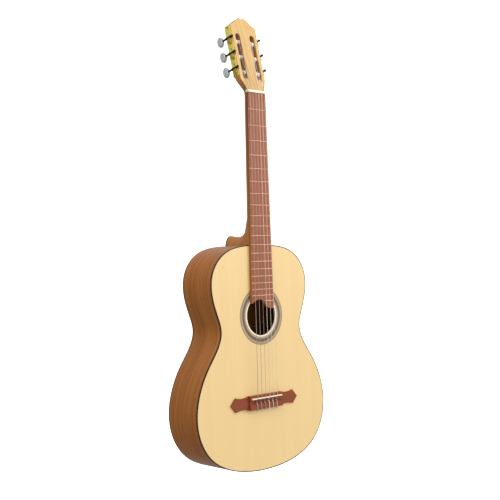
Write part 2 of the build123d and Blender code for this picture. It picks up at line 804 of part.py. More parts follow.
# One tooth, as corners: radius, distance either side of the tooth's middle.
GEAR_TOOTH = ((GEAR_ROOT, -0.62), (GEAR_TIP, -0.27), (GEAR_TIP, 0.27), (GEAR_ROOT, 0.62))
GEAR_SCREW_SHANK = 1.1
GEAR_SCREW_LENGTH = 4.5
GEAR_SCREW_HEAD = 2.6
GEAR_SCREW_HEAD_HEIGHT = 0.9
GEAR_SCREW_GAP = 0.02
BUTTON_T = 35.6
BUTTON_LENGTH = 22.8
BUTTON_DEPTH = 16.2
BUTTON_WIDTH = 8.4
BUTTON_ROUND = 2.8
SHAFT_IN_BUTTON = 2.0
WORM_END_GAP = 0.3
COLLAR_OUT = 1.0
COLLAR_RADIUS = 2.8
COLLAR_LENGTH = 3.0
COLLAR_ROUND = 1.2
SLEEVE_RADIUS = 2.35
SLEEVE_GAP = 0.3


def side_plane(x, s, t, side, up=HEAD_UP):
    """A plane whose normal points out of the head's side."""
    return Plane(origin=head_point(side * x, s, t), x_dir=up, z_dir=(side, 0, 0))


for side, plate_name in ((-1, "tuner_plate_bass"), (1, "tuner_plate_treble")):
    with BuildPart() as plate:
        middle_s = (PLATE_LOW + PLATE_HIGH) / 2
        middle_t = (PLATE_FRONT_T + PLATE_REAR_T) / 2
        with BuildSketch(side_plane(HEAD_HALF, middle_s, middle_t, side)):
            RectangleRounded(PLATE_HIGH - PLATE_LOW, PLATE_REAR_T - PLATE_FRONT_T, PLATE_CORNER)
        extrude(amount=PLATE_THICKNESS)
        for roller_s in ROLLER_S:
            with BuildSketch(side_plane(HEAD_HALF, roller_s, ROLLER_T, side)):
                Circle(SPIGOT_RADIUS + RUNNING_GAP)
            extrude(amount=PLATE_THICKNESS, mode=Mode.SUBTRACT)
        for screw_s, screw_t in SCREW_PLACES:
            add(plate_screw(screw_s, screw_t, side), mode=Mode.SUBTRACT)
    save(plate, plate_name)

with BuildPart() as plate_screws:
    for side in (1, -1):
        for screw_s, screw_t in SCREW_PLACES:
            add(plate_screw(screw_s, screw_t, side))
save(plate_screws, "plate_screws")

with BuildPart() as worm_lugs:
    for side in (1, -1):
        for roller_s in ROLLER_S:
            shaft_s = roller_s + CENTRE_DISTANCE
            for lug_t in (LUG_FRONT_T, LUG_REAR_T):
                lug_plane = head_plane(lug_t, shaft_s, side * SHAFT_X)
                foot = side * (PLATE_OUTER - SHAFT_X)
                with BuildSketch(lug_plane):
                    with Locations((foot / 2, 0)):
                        Rectangle(abs(foot), 2 * LUG_HALF)
                    Circle(LUG_HALF)
                    Circle(SHAFT_RADIUS + SHAFT_GAP, mode=Mode.SUBTRACT)
                extrude(amount=-LUG_THICKNESS)
save(worm_lugs, "worm_lugs")


def worm_thread():
    """The worm's thread on its own, round the z axis, starting on the x axis at z = 0."""
    crest = WORM_CREST - THREAD_BASE
    with BuildPart() as thread:
        with BuildLine() as helix:
            Helix(pitch=WORM_PITCH, height=WORM_TURNS * WORM_PITCH, radius=THREAD_BASE)
        with BuildSketch(Plane(origin=helix.line @ 0, x_dir=(1, 0, 0), z_dir=helix.line % 0)):
            with BuildLine():
                Polyline(
                    (0, -THREAD_FOOT / 2),
                    (crest, -THREAD_LAND / 2),
                    (crest, THREAD_LAND / 2),
                    (0, THREAD_FOOT / 2),
                    close=True,
                )
            make_face()
        sweep(path=helix.line, is_frenet=True)
    return thread.part


thread_solid = worm_thread()


def worm_shaft(side, roller_s):
    """A button's shaft with its worm thread, round the axis that points out of the head's face."""
    shaft_s = roller_s + CENTRE_DISTANCE
    low = LUG_FRONT_T + LUG_THICKNESS + WORM_END_GAP
    high = LUG_REAR_T - WORM_END_GAP
    sleeve_start = LUG_REAR_T + LUG_THICKNESS + SLEEVE_GAP
    axis = -HEAD_BACK

    def at(t):
        return Plane(origin=head_point(side * SHAFT_X, shaft_s, t), x_dir=-HEAD_UP, z_dir=axis)

    placed_thread = at(ROLLER_T + 2 * WORM_PITCH).location * thread_solid
    with BuildPart() as shaft:
        with BuildSketch(at(high)):
            Circle(WORM_ROOT)
        extrude(amount=high - low)
        with BuildSketch(at(low)):
            Circle(SHAFT_RADIUS)
        extrude(amount=low + COLLAR_OUT)
        with BuildSketch(at(-COLLAR_OUT)):
            Circle(COLLAR_RADIUS)
        extrude(amount=COLLAR_LENGTH)
        fillet(shaft.edges().sort_by(Axis(origin=(0, 0, 0), direction=tuple(axis)))[-1], radius=COLLAR_ROUND)
        with BuildSketch(at(BUTTON_T + SHAFT_IN_BUTTON)):
            Circle(SHAFT_RADIUS)
        extrude(amount=BUTTON_T + SHAFT_IN_BUTTON - high)
        with BuildSketch(at(BUTTON_T - BUTTON_DEPTH / 2)):
            Circle(SLEEVE_RADIUS)
        extrude(amount=BUTTON_T - BUTTON_DEPTH / 2 - sleeve_start)
        add(placed_thread)
    return shaft


def button(side, roller_s):
    """An oval button pressed on the end of a shaft."""
    shaft_s = roller_s + CENTRE_DISTANCE
    with BuildPart() as knob:
        with BuildSketch(side_plane(SHAFT_X - BUTTON_WIDTH / 2, shaft_s, BUTTON_T, side)):
            Ellipse(BUTTON_LENGTH / 2, BUTTON_DEPTH / 2)
        extrude(amount=BUTTON_WIDTH)
        fillet(knob.edges(), radius=BUTTON_ROUND)
        add(
            rod(
                head_point(side * SHAFT_X, shaft_s, BUTTON_T - BUTTON_DEPTH),
                head_point(side * SHAFT_X, shaft_s, BUTTON_T + SHAFT_IN_BUTTON),
                SHAFT_RADIUS,
            ),
            mode=Mode.SUBTRACT,
        )
    return knob


def gear_profile():
    """The gear's outline: straight-sided teeth, with a gap on the local x axis."""
    points = []
    for tooth in range(GEAR_TEETH):
        middle = 2 * pi * (tooth + 0.5) / GEAR_TEETH
        for radius, half in GEAR_TOOTH:
            angle = middle + half / radius
            points.append((radius * cos(angle), radius * sin(angle)))
    with BuildSketch() as profile:
        with BuildLine():
            Polyline(*points, close=True)
        make_face()
        Circle(SPIGOT_RADIUS, mode=Mode.SUBTRACT)
    return profile.sketch


gear_sketch = gear_profile()


def gear(side, roller_s):
    """A worm gear on its roller's end, with the screw that holds it."""
    with BuildPart() as wheel:
        with BuildSketch(side_plane(GEAR_X, roller_s, ROLLER_T, side)):
            add(gear_sketch)
        extrude(amount=GEAR_WIDTH)
        with BuildSketch(side_plane(GEAR_OUTER + GEAR_SCREW_GAP, roller_s, ROLLER_T, side)):
            Circle(GEAR_SCREW_HEAD)
        extrude(amount=GEAR_SCREW_HEAD_HEIGHT)
        with BuildSketch(side_plane(GEAR_OUTER - GEAR_SCREW_LENGTH, roller_s, ROLLER_T, side)):
            Circle(GEAR_SCREW_SHANK)
        extrude(amount=GEAR_SCREW_LENGTH + GEAR_SCREW_GAP)
    return wheel


def roller(side, roller_s, string_index):
    """A string roller: a thick barrel in the head and a spigot out through the plate."""
    with BuildPart() as barrel:
        step_x = HEAD_HALF - ROLLER_END_GAP
        with BuildSketch(side_plane(ROLLER_INNER_X, roller_s, ROLLER_T, side)):
            Circle(ROLLER_RADIUS)
        extrude(amount=step_x - ROLLER_INNER_X)
        with BuildSketch(side_plane(step_x, roller_s, ROLLER_T, side)):
            Circle(SPIGOT_RADIUS)
        extrude(amount=GEAR_OUTER - step_x)
        with BuildSketch(side_plane(GEAR_OUTER - GEAR_SCREW_LENGTH, roller_s, ROLLER_T, side)):
            Circle(GEAR_SCREW_SHANK)
        extrude(amount=GEAR_SCREW_LENGTH, mode=Mode.SUBTRACT)
        hole_x = STRING_X_ROLLER[string_index] - side * STRING_HOLE_SHIFT
        hole_front = head_point(hole_x, roller_s, ROLLER_T - 2 * ROLLER_RADIUS)
        hole_rear = head_point(hole_x, roller_s, ROLLER_T + 2 * ROLLER_RADIUS)
        add(rod(hole_front, hole_rear, STRING_HOLE_RADIUS), mode=Mode.SUBTRACT)
    return barrel


for index in range(6):
    side = 1 if index < 3 else -1
    roller_s = ROLLER_S[STRING_ROLLER[index]]
    save(worm_shaft(side, roller_s), f"worm_{index + 1}")
    save(button(side, roller_s), f"button_{index + 1}")
    save(gear(side, roller_s), f"gear_{index + 1}")
    save(roller(side, roller_s, index), f"roller_{index + 1}")
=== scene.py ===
"""Look of the classical guitar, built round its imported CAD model. Lengths are metres."""

import json
import math

import bmesh
import bpy
from mathutils import Matrix, Vector


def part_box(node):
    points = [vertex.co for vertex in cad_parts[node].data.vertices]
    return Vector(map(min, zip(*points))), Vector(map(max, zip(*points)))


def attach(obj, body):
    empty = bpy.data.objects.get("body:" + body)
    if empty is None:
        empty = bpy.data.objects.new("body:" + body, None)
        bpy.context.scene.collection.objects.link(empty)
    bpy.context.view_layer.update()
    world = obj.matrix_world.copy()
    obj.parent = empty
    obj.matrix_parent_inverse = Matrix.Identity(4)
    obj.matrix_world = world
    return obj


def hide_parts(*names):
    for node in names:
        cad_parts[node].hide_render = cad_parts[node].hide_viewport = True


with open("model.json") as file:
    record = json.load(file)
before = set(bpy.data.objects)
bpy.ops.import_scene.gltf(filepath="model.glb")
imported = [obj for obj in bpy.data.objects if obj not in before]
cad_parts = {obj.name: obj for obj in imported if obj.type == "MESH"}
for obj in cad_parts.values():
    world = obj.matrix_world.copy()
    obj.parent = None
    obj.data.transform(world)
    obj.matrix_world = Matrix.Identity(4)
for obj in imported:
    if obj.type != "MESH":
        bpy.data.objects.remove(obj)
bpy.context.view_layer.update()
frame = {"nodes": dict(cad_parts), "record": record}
NODES = frame["nodes"]
scene = bpy.context.scene
MM = 0.001

# ---------------------------------------------------------------- camera

AZIMUTH = math.radians(-43.0)
ELEVATION = math.radians(-0.6)
ROLL = math.radians(-1.75)
DISTANCE = 2.0758
TARGET = Vector((0.00994, 0.040, 0.46974))
LENS = 68.62


def aim(azimuth, elevation, roll=0.0):
    """Rotation of a camera or lamp that looks back at the object from a direction."""
    back = Vector(
        (
            math.sin(azimuth) * math.cos(elevation),
            -math.cos(azimuth) * math.cos(elevation),
            math.sin(elevation),
        )
    )
    right = Vector((math.cos(azimuth), math.sin(azimuth), 0))
    up = back.cross(right)
    across = right * math.cos(roll) + up * math.sin(roll)
    upward = up * math.cos(roll) - right * math.sin(roll)
    turn = Matrix((across, upward, back)).transposed()
    return back, turn


camera_data = bpy.data.cameras.new("camera")
camera_data.lens = LENS
camera_data.sensor_width = 36.0
camera_data.clip_start = 0.05
camera_data.clip_end = 60.0
camera = bpy.data.objects.new("camera", camera_data)
scene.collection.objects.link(camera)
camera_back, camera_turn = aim(AZIMUTH, ELEVATION, ROLL)
camera.matrix_world = Matrix.Translation(TARGET + camera_back * DISTANCE) @ camera_turn.to_4x4()
scene.camera = camera

# ---------------------------------------------------------------- light

scene.view_settings.view_transform = "Standard"

# The studio's white walls are brightest in front, to the right and above.
BRIGHT_SIDE = Vector((0.30, -0.70, 0.65)).normalized()
WALL_DIM = 0.22
WALL_BRIGHT = 0.95

world = bpy.data.worlds.new("studio")
scene.world = world
world.use_nodes = True
background = world.node_tree.nodes["Background"]
direction = world.node_tree.nodes.new("ShaderNodeTexCoord")
facing = world.node_tree.nodes.new("ShaderNodeVectorMath")
facing.operation = "DOT_PRODUCT"
facing.inputs[1].default_value = BRIGHT_SIDE
walls = world.node_tree.nodes.new("ShaderNodeMapRange")
walls.inputs["From Min"].default_value = -1.0
walls.inputs["To Min"].default_value = WALL_DIM
walls.inputs["To Max"].default_value = WALL_BRIGHT
world.node_tree.links.new(direction.outputs["Generated"], facing.inputs[0])
world.node_tree.links.new(facing.outputs["Value"], walls.inputs["Value"])
world.node_tree.links.new(walls.outputs["Result"], background.inputs["Strength"])
background.inputs["Color"].default_value = (1, 1, 1, 1)


def lamp(name, azimuth, elevation, distance, width, height, power):
    """A rectangular soft light that faces the middle of the object."""
    data = bpy.data.lights.new(name, "AREA")
    data.shape = "RECTANGLE"
    data.size = width
    data.size_y = height
    data.energy = power
    thing = bpy.data.objects.new(name, data)
    scene.collection.objects.link(thing)
    back, turn = aim(math.radians(azimuth), math.radians(elevation))
    thing.matrix_world = Matrix.Translation(TARGET + back * distance) @ turn.to_4x4()


lamp("key", -50, 45, 1.9, 0.9, 0.9, 10)
lamp("sheen", 36, 18, 2.0, 0.9, 0.6, 12)


# ---------------------------------------------------------------- node helpers


FINE_BUMP = 0.0001


class Shader:
    """A material's node tree, with short names for the nodes that the woods and metals share."""

    def __init__(self, name):
        self.material = bpy.data.materials.new(name)
        self.material.use_nodes = True
        self.tree = self.material.node_tree
        self.bsdf = self.tree.nodes["Principled BSDF"]
        self.coords = self.tree.nodes.new("ShaderNodeTexCoord").outputs["Object"]

    def node(self, kind, **settings):
        made = self.tree.nodes.new("ShaderNode" + kind)
        for key, value in settings.items():
            setattr(made, key, value)
        return made

    def link(self, source, target):
        self.tree.links.new(source, target)

    def feed(self, socket, value):
        """Sets a socket to a number, a colour or another socket."""
        if isinstance(value, bpy.types.NodeSocket):
            self.link(value, socket)
        else:
            socket.default_value = value

    def math(self, operation, a, b=None):
        made = self.node("Math", operation=operation)
        self.feed(made.inputs[0], a)
        if b is not None:
            self.feed(made.inputs[1], b)
        return made.outputs[0]

    def xyz(self, vector=None):
        made = self.node("SeparateXYZ")
        self.link(vector or self.coords, made.inputs[0])
        return made.outputs

    def point(self, x, y, z):
        made = self.node("CombineXYZ")
        for socket, value in zip(made.inputs, (x, y, z)):
            self.feed(socket, value)
        return made.outputs[0]

    def noise(self, vector, scale=1.0, detail=3.0, rough=0.5, distortion=0.0):
        made = self.node("TexNoise")
        self.link(vector, made.inputs["Vector"])
        made.inputs["Scale"].default_value = scale
        made.inputs["Detail"].default_value = detail
        made.inputs["Roughness"].default_value = rough
        made.inputs["Distortion"].default_value = distortion
        return made.outputs["Fac"]

    def stretched(self, across, fine, seed, along, coarse, detail=3.0, rough=0.5):
        """Noise that changes fast across a wood's grain and slowly along it."""
        place = self.point(self.math("MULTIPLY", across, fine), seed, self.math("MULTIPLY", along, coarse))
        return self.noise(place, 1.0, detail, rough)

    def ramp(self, fac, stops, interpolation="LINEAR"):
        """A colour ramp; stops are (place, colour), the colours in display values."""
        made = self.node("ValToRGB")
        made.color_ramp.interpolation = interpolation
        elements = made.color_ramp.elements
        while len(elements) < len(stops):
            elements.new(0.5)
        for element, (place, colour) in zip(elements, stops):
            element.position = place
            element.color = shade(colour)
        self.link(fac, made.inputs["Fac"])
        return made.outputs["Color"]

    def spread(self, value, low, high, to_low=0.0, to_high=1.0):
        made = self.node("MapRange")
        self.feed(made.inputs["Value"], value)
        for key, number in (("From Min", low), ("From Max", high), ("To Min", to_low), ("To Max", to_high)):
            made.inputs[key].default_value = number
        return made.outputs["Result"]

    def mix(self, fac, a, b, blend="MIX"):
        made = self.node("Mix", data_type="RGBA", blend_type=blend)
        self.feed(made.inputs["Factor"], fac)
        self.feed(made.inputs["A"], a if isinstance(a, bpy.types.NodeSocket) else shade(a))
        self.feed(made.inputs["B"], b if isinstance(b, bpy.types.NodeSocket) else shade(b))
        return made.outputs["Result"]

    def finish(self, colour, rough, bump=None, strength=0.0, **sockets):
        """Feeds the shader; any other input goes by its name with underscores for spaces."""
        self.feed(self.bsdf.inputs["Base Color"], colour)
        self.feed(self.bsdf.inputs["Roughness"], rough)
        if bump is not None:
            made = self.node("Bump")
            made.inputs["Strength"].default_value = strength
            made.inputs["Distance"].default_value = FINE_BUMP
            self.link(bump, made.inputs["Height"])
            self.link(made.outputs["Normal"], self.bsdf.inputs["Normal"])
        for key, value in sockets.items():
            self.feed(self.bsdf.inputs[key.replace("_", " ")], value)
        return self.material


def shade(colour):
    """A colour written as display values from 0 to 255, as the linear values that nodes take."""
    linear = []
    for value in colour[:3]:
        part = value / 255
        linear.append(part / 12.92 if part <= 0.04045 else ((part + 0.055) / 1.055) ** 2.4)
    return (*linear, 1.0)


# ---------------------------------------------------------------- woods

SPRUCE_PITCH = 0.0011
SPRUCE_WANDER = 0.003
WOOD_WANDER = 0.02


def grain(s, across, along, seed):
    """Spruce's growth lines, as one value from 0 to 1."""
    drift = s.stretched(across, 14.0, seed, along, 2.2, 2.0)
    moved = s.math("ADD", across, s.math("MULTIPLY", drift, SPRUCE_WANDER))
    return s.stretched(moved, 1.0 / SPRUCE_PITCH, seed + 3.1, along, 1.1, 2.0)


HOLE_Z = (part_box("rosette_mosaic")[0].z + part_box("rosette_mosaic")[1].z) / 2
ROSETTE_START = 0.045
ROSETTE_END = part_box("rosette_rings")[1].x
HEAD_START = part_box("nut")[1].z
BODY_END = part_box("top_binding")[1].z


def hole_radius(s):
    """Distance from the soundhole's axis."""
    x, y, z = s.xyz()
    away = s.math("SUBTRACT", z, HOLE_Z)
    return s.math("SQRT", s.math("ADD", s.math("MULTIPLY", x, x), s.math("MULTIPLY", away, away)))


def spruce():
    """The soundboard: fine pale grain, mirrored about the centre line, and a cream rim at the soundhole."""
    s = Shader("spruce")
    x, y, z = s.xyz()
    across = s.math("ABSOLUTE", x)
    lines = grain(s, across, z, 1.0)
    broad = s.stretched(across, 30.0, 5.0, z, 1.6)
    fibre = s.stretched(across, 2600.0, 7.0, z, 90.0, 2.0, 0.6)
    tone = s.ramp(broad, [(0.25, (238, 203, 136)), (0.75, (242, 209, 145))])
    tone = s.mix(s.spread(lines, 0.52, 0.72, 0.0, 0.26), tone, (222, 178, 106))
    tone = s.mix(s.spread(fibre, 0.4, 0.7, 0.0, 0.12), tone, (228, 188, 116))
    rim = s.spread(hole_radius(s), ROSETTE_START - 0.0002, ROSETTE_START, 1.0, 0.0)
    tone = s.mix(rim, tone, (255, 242, 216))
    rough = s.spread(fibre, 0.3, 0.7, 0.36, 0.46)
    return s.finish(tone, rough, lines, 0.10, Coat_Weight=0.8, Coat_Roughness=0.30)


def streaked(name, axis, tones, seed, streak=0.0035, rough=0.34, coat=0.1, mirror_x=False, dress=None):
    """A brown wood with long streaks and pores, whose grain varies along one axis.

    tones are light, mid, dark and the pores' colour. dress, if given, changes the colour in some
    places: it takes the shader and the colour.
    """
    light, mid, dark, pore = tones
    s = Shader(name)
    x, y, z = s.xyz()
    if mirror_x:
        x = s.math("ABSOLUTE", x)
    if axis == "y":
        across, along = y, s.math("ADD", z, s.math("MULTIPLY", x, 0.7))
    elif axis == "z":
        across, along = s.math("ADD", z, s.math("MULTIPLY", y, 0.6)), x
    else:
        across, along = s.math("ADD", x, s.math("MULTIPLY", y, 0.35)), z
    drift = s.stretched(across, 18.0, seed, along, 3.0)
    moved = s.math("ADD", across, s.math("MULTIPLY", drift, WOOD_WANDER))
    bands = s.stretched(moved, 1.0 / streak, seed + 2, along, 2.0, 4.0, 0.6)
    wide = s.stretched(moved, 45.0, seed + 4, along, 4.0)
    pores = s.stretched(across, 1900.0, seed + 6, along, 75.0, 2.0)
    colour = s.ramp(bands, [(0.25, dark), (0.5, mid), (0.75, light)])
    colour = s.mix(s.spread(wide, 0.35, 0.7, 0.0, 0.45), colour, mid)
    colour = s.mix(s.spread(pores, 0.60, 0.70, 0.0, 0.7), colour, pore)
    if dress:
        colour = dress(s, colour)
    gloss = {"Coat_Weight": coat, "Coat_Roughness": 0.18, "Specular_IOR_Level": 0.35}
    return s.finish(colour, rough, pores, 0.12, **gloss)


BOARD_EDGE_LOW = (156, 104, 48)
BOARD_EDGE_HIGH = (116, 66, 44)
# The next colour is painted shade for the recessed walls of the head's slots.
SLOT_PAINTED_SHADE = (150, 112, 78)
SLOT_REACH = 0.0285
EDGE_BLUR = 0.0005
# Painted shade for the front of the flare beside the veneer, which lies in shadow.
FLARE_PAINTED_SHADE = (70, 44, 28)


def sideways(s):
    """1 where the surface faces to the bass or the treble side."""
    normal = s.node("TexCoord").outputs["Normal"]
    return s.spread(s.math("ABSOLUTE", s.xyz(normal)[0]), 0.6, 0.8)


def golden_edge(s, colour):
    """The fingerboard's long edges are golden at the body and dark at the nut."""
    up = s.spread(s.xyz()[2], BODY_END, HEAD_START)
    edge = s.ramp(up, [(0.0, BOARD_EDGE_LOW), (0.9, BOARD_EDGE_HIGH)])
    return s.mix(s.math("MULTIPLY", sideways(s), 0.85), colour, edge)


def head_painted_shade(s, colour):
    """Painted shade: the slots' walls are darkened, and so is the front of the flare beside the veneer,
    where shadow falls.
    """
    x, y, z = s.xyz()
    facing_front = s.spread(s.xyz(s.node("TexCoord").outputs["Normal"])[1], -0.5, -0.25, 1.0, 0.0)
    above_nut = s.spread(z, HEAD_START - 0.004, HEAD_START - 0.002)
    between = s.spread(s.math("ABSOLUTE", x), SLOT_REACH, SLOT_REACH + EDGE_BLUR, 1.0, 0.0)
    in_slot = s.math("MULTIPLY", between, sideways(s))
    walls_of_slots = s.math("MULTIPLY", above_nut, in_slot)
    # Painted shade on the slots' walls.
    slot_walls_shaded = s.mix(s.math("MULTIPLY", walls_of_slots, 0.8), colour, SLOT_PAINTED_SHADE)
    front_of_flare = s.math("MULTIPLY", above_nut, facing_front)
    # Painted shade on the flare's front beside the veneer.
    return s.mix(s.math("MULTIPLY", front_of_flare, 0.85), slot_walls_shaded, FLARE_PAINTED_SHADE)


RIM_TONES = ((200, 126, 50), (170, 102, 36), (118, 64, 22), (84, 44, 17))
BACK_TONES = ((186, 118, 50), (164, 97, 36), (130, 73, 26), (92, 50, 20))
NECK_TONES = ((204, 140, 70), (188, 124, 56), (162, 100, 42), (118, 68, 30))
BOARD_TONES = ((192, 118, 80), (162, 92, 60), (114, 59, 38), (80, 40, 27))
BRIDGE_TONES = ((156, 77, 34), (140, 65, 28), (108, 47, 20), (72, 32, 17))
VENEER_TONES = ((240, 206, 146), (222, 182, 120), (170, 126, 72), (140, 100, 58))
INNER_TONES = ((150, 106, 56), (130, 88, 44), (108, 70, 34), (84, 54, 28))

rim_wood = streaked("rim_wood", "y", RIM_TONES, 11.0, 0.0055)
back_wood = streaked("back_wood", "x", BACK_TONES, 17.0, mirror_x=True)
# The neck's head end gets painted shade on its slots' walls and on the flare's front.
neck_wood = streaked("neck_wood", "x", NECK_TONES, 23.0, 0.005, 0.42, 0.05, dress=head_painted_shade)
board_wood = streaked("board_wood", "x", BOARD_TONES, 31.0, 0.0019, 0.5, 0.0, dress=golden_edge)
bridge_wood = streaked("bridge_wood", "z", BRIDGE_TONES, 37.0, 0.0025, 0.45, 0.0)
head_veneer = streaked("head_veneer", "x", VENEER_TONES, 41.0, 0.0030, 0.42)
inner_wood = streaked("inner_wood", "x", INNER_TONES, 43.0, 0.004, 0.7, 0.0)

# ---------------------------------------------------------------- plastics and metals


def plain(name, colour, rough, vary=0.06, metallic=0.0, scale=180.0, **sockets):
    """A plastic or metal whose tone and gloss wander a little."""
    s = Shader(name)
    cloud = s.noise(s.coords, scale, 4.0, 0.55)
    darker = tuple(value * (1 - vary) for value in colour)
    lighter = tuple(min(255, value * (1 + vary)) for value in colour)
    tone = s.ramp(cloud, [(0.3, darker), (0.7, lighter)])
    gloss = s.spread(cloud, 0.3, 0.7, rough * 0.85, rough * 1.15)
    return s.finish(tone, gloss, cloud, 0.04, Metallic=metallic, **sockets)


binding_black = plain("binding_black", (24, 21, 18), 0.34, 0.15, Specular_IOR_Level=0.35)
fret_metal = plain("fret_metal", (210, 166, 138), 0.36, 0.05, 0.7)
dot_white = plain("dot_white", (236, 236, 230), 0.3)
bone = plain("bone", (242, 230, 196), 0.32, 0.03)
brass = plain("brass", (196, 172, 78), 0.34, 0.06, 0.6)
dark_steel = plain("dark_steel", (26, 20, 18), 0.38, 0.1, 0.3)
pearl = plain("pearl", (182, 187, 188), 0.24, 0.09, 0.0, 260.0, Coat_Weight=0.2)
gear_brass = plain("gear_brass", (206, 170, 66), 0.36, 0.06, 0.6)
roller_white = plain("roller_white", (240, 236, 226), 0.35, 0.03)
nylon = plain("nylon", (232, 224, 212), 0.45, 0.03, 0.0, 400.0, Transmission_Weight=0.15)
wound = plain("wound", (178, 170, 162), 0.42, 0.05, 0.5, 900.0)


def patinated_brass():
    """Yellow plate brass, browner and duller where the ornament is pressed in."""
    s = Shader("pressed_brass")
    depth = s.node("Attribute", attribute_name="pressed").outputs["Fac"]
    cloud = s.noise(s.coords, 220.0, 4.0, 0.55)
    tone = s.ramp(cloud, [(0.3, (244, 226, 96)), (0.7, (252, 242, 132))])
    tone = s.mix(s.math("MULTIPLY", depth, 0.8), tone, (120, 92, 30))
    rough = s.math("ADD", s.spread(cloud, 0.3, 0.7, 0.30, 0.42), s.math("MULTIPLY", depth, 0.2))
    return s.finish(tone, rough, cloud, 0.04, Metallic=0.15)


pressed_brass = patinated_brass()


def rosette(name, bands, tiles=0):
    """Inlaid rings round the soundhole; bands are (radius in millimetres, colour) from the inside out."""
    s = Shader(name)
    x, y, z = s.xyz()
    radius = hole_radius(s)
    place = s.spread(radius, ROSETTE_START, ROSETTE_END)
    stops = [((at * MM - ROSETTE_START) / (ROSETTE_END - ROSETTE_START), colour) for at, colour in bands]
    colour = s.ramp(place, stops, "CONSTANT")
    if tiles:
        angle = s.math("ARCTAN2", x, s.math("SUBTRACT", z, HOLE_Z))
        turn = s.math("MULTIPLY", angle, tiles / (2 * math.pi))
        column = s.math("FLOOR", turn)
        row = s.math("FLOOR", s.math("MULTIPLY", radius, 1000.0))
        odd = s.math("MODULO", s.math("ABSOLUTE", s.math("ADD", column, row)), 2.0)
        colour = s.mix(s.math("MULTIPLY", odd, 0.55), colour, (150, 120, 96))
    grainy = s.noise(s.coords, 900.0, 3.0)
    colour = s.mix(s.spread(grainy, 0.35, 0.7, 0.0, 0.3), colour, (128, 104, 84))
    return s.finish(colour, 0.35, grainy, 0.05, Coat_Weight=0.35, Coat_Roughness=0.12)


STRIP_PALE = (204, 186, 146)
STRIP_MID = (178, 158, 120)
STRIP_DARK = (112, 88, 64)
rosette_light = rosette(
    "rosette_light",
    [
        (45.0, STRIP_PALE),
        (45.9, STRIP_DARK),
        (46.4, STRIP_PALE),
        (48.0, STRIP_MID),
        (49.0, STRIP_DARK),
        (55.5, STRIP_DARK),
        (56.1, STRIP_PALE),
        (57.5, STRIP_DARK),
        (58.0, STRIP_MID),
        (60.4, STRIP_DARK),
        (60.9, STRIP_MID),
        (61.6, STRIP_DARK),
    ],
)
MOSAIC_EDGE = (104, 76, 58)
MOSAIC_CORE = (84, 58, 46)
MOSAIC_TILES = 120
rosette_dark = rosette(
    "rosette_dark", [(45.0, MOSAIC_EDGE), (51.5, MOSAIC_CORE), (53.5, MOSAIC_EDGE)], MOSAIC_TILES
)

# ---------------------------------------------------------------- materials on the CAD nodes

LOOKS = {
    "soundboard": spruce(),
    "back": back_wood,
    "bass_side": rim_wood,
    "treble_side": rim_wood,
    "top_binding": binding_black,
    "back_binding": binding_black,
    "heel_cap": binding_black,
    "rosette_rings": rosette_light,
    "rosette_mosaic": rosette_dark,
    "neck": neck_wood,
    "head_plate": head_veneer,
    "frets": fret_metal,
    "side_dots": dot_white,
    "fingerboard": board_wood,
    "nut": bone,
    "saddle": bone,
    "bridge": bridge_wood,
    "tuner_plate_bass": brass,
    "tuner_plate_treble": brass,
    "plate_screws": brass,
    "worm_lugs": dark_steel,
}
for number in range(1, 7):
    LOOKS[f"string_{number}"] = nylon if number <= 3 else wound
    LOOKS[f"worm_{number}"] = dark_steel
    LOOKS[f"button_{number}"] = pearl
    LOOKS[f"gear_{number}"] = gear_brass
    LOOKS[f"roller_{number}"] = roller_white

for name, node in NODES.items():
    node.data.materials.clear()
    node.data.materials.append(LOOKS.get(name, inner_wood))

# ---------------------------------------------------------------- the head's own directions

JOINTS = {joint["name"]: joint for joint in frame["record"]["behaviour"]["joints"]}
HEAD_BACK = -Vector(JOINTS["key_1_turn"]["axis"])
HEAD_UP = Vector((0, -HEAD_BACK.z, HEAD_BACK.y))
ACROSS = Vector((1, 0, 0))


def span(name, direction):
    """The lowest and highest place of a CAD node along a direction."""
    places = [direction.dot(vertex.co) for vertex in NODES[name].data.vertices]
    return min(places), max(places)


# ---------------------------------------------------------------- strings

STRING_RADIUS = (0.36 * MM, 0.41 * MM, 0.51 * MM, 0.38 * MM, 0.45 * MM, 0.55 * MM)
SADDLE_STEP = 11.6 * MM
NUT_STEP = 8.6 * MM
ROLLER_X = (22.5 * MM, 20.5 * MM, 20.0 * MM, -20.0 * MM, -20.5 * MM, -22.5 * MM)
ROLLER_RADIUS = 5.0 * MM
NUT_NOTCH = 0.5 * MM
COIL_GAP = 0.05 * MM
LANE_SPREAD = 1.04
COIL_TURNS = 2
TURN_STEPS = 28
TAIL_LENGTH = 5.0 * MM
# The knot at the bridge, from the hole's front end: sideways, out from the block's top, up
# from the block's lower edge. The loop comes back over the block and locks under itself.
KNOT = (
    (0.0, -4.4, 13.3),
    (0.0, -4.4, -1.1),
    (0.1, -2.0, -1.6),
    (0.2, 0.3, -0.6),
    (0.3, 0.2, 6.5),
    (0.5, 0.1, 12.5),
    (-0.9, -1.0, 15.3),
    (-1.1, -2.7, 15.9),
    (1.3, -3.0, 15.5),
    (1.6, -0.8, 13.9),
    (1.5, 0.2, 11.0),
    (1.7, 0.2, 4.5),
    (2.0, 0.1, 0.0),
    (2.4, -0.5, -2.9),
)

nut_low, nut_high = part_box("nut")
saddle_low, saddle_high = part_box("saddle")
bridge_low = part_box("bridge")[0]


